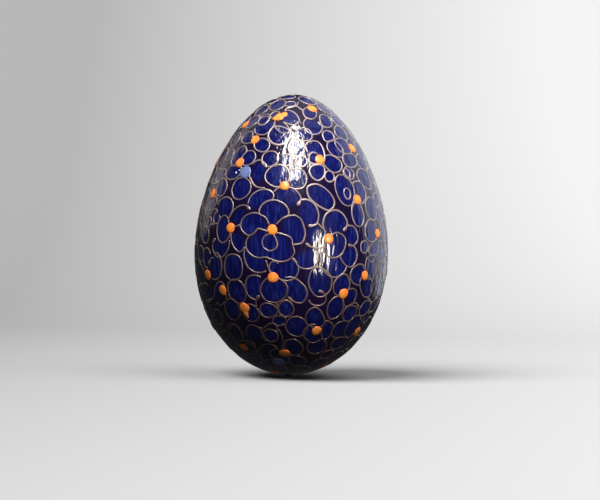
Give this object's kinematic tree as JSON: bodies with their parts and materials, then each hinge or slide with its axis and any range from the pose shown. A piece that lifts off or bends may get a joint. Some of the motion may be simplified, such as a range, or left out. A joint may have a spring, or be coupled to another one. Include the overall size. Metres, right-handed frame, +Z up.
{
  "type": "decorated egg",
  "caption": "Blown goose egg standing on its blunt end, lacquered deep navy and painted with raised copper-gold petal loops around orange dots, its blow hole closed by a small plug",
  "frame": {"origin": "middle of the flat underside of the blow-hole plug, which is the lowest point, on the egg's axis", "axes": "+Z up along the egg's axis towards the pointed end, +Y away from a viewer of the front, +X to that viewer's right"},
  "size_m": [0.0588, 0.0588, 0.0853],
  "materials": {
    "navy_lacquer": "gloss",
    "eggshell": "matte",
    "membrane": "matte",
    "wax_plug": "satin",
    "copper_gold_contour": "satin",
    "orange_paint": "satin",
    "pale_blue_paint": "satin"
  },
  "bodies": {
    "root": {"lacquer_coat": "navy_lacquer", "eggshell": "eggshell", "outer_membrane": "membrane", "inner_membrane": "membrane", "blow_hole_plug": "wax_plug", "pale_blue_dab": "pale_blue_paint", "tracery_upper": "copper_gold_contour", "tracery_middle": "copper_gold_contour", "tracery_lower": "copper_gold_contour", "dot_01": "orange_paint", "dot_02": "orange_paint", "dot_03": "orange_paint", "dot_04": "orange_paint", "dot_05": "orange_paint", "dot_06": "orange_paint", "dot_07": "orange_paint", "dot_08": "orange_paint", "dot_09": "orange_paint", "dot_10": "orange_paint", "dot_11": "orange_paint", "dot_12": "orange_paint", "dot_13": "orange_paint", "dot_14": "orange_paint", "dot_15": "orange_paint", "dot_16": "orange_paint", "dot_17": "orange_paint", "dot_18": "orange_paint", "dot_19": "orange_paint", "dot_20": "orange_paint", "dot_21": "orange_paint", "dot_22": "orange_paint", "dot_23": "orange_paint", "dot_24": "orange_paint", "dot_25": "orange_paint", "dot_26": "orange_paint", "dot_27": "orange_paint", "dot_28": "orange_paint", "dot_29": "orange_paint", "dot_30": "orange_paint", "dot_31": "orange_paint", "dot_32": "orange_paint", "dot_33": "orange_paint", "dot_34": "orange_paint", "dot_35": "orange_paint", "dot_36": "orange_paint", "dot_37": "orange_paint", "dot_38": "orange_paint", "dot_39": "orange_paint", "dot_40": "orange_paint", "dot_41": "orange_paint", "dot_42": "orange_paint", "dot_43": "orange_paint", "dot_44": "orange_paint", "dot_45": "orange_paint", "dot_46": "orange_paint", "dot_47": "orange_paint", "dot_48": "orange_paint", "dot_49": "orange_paint", "dot_50": "orange_paint", "dot_51": "orange_paint"}
  },
  "joints": []
}
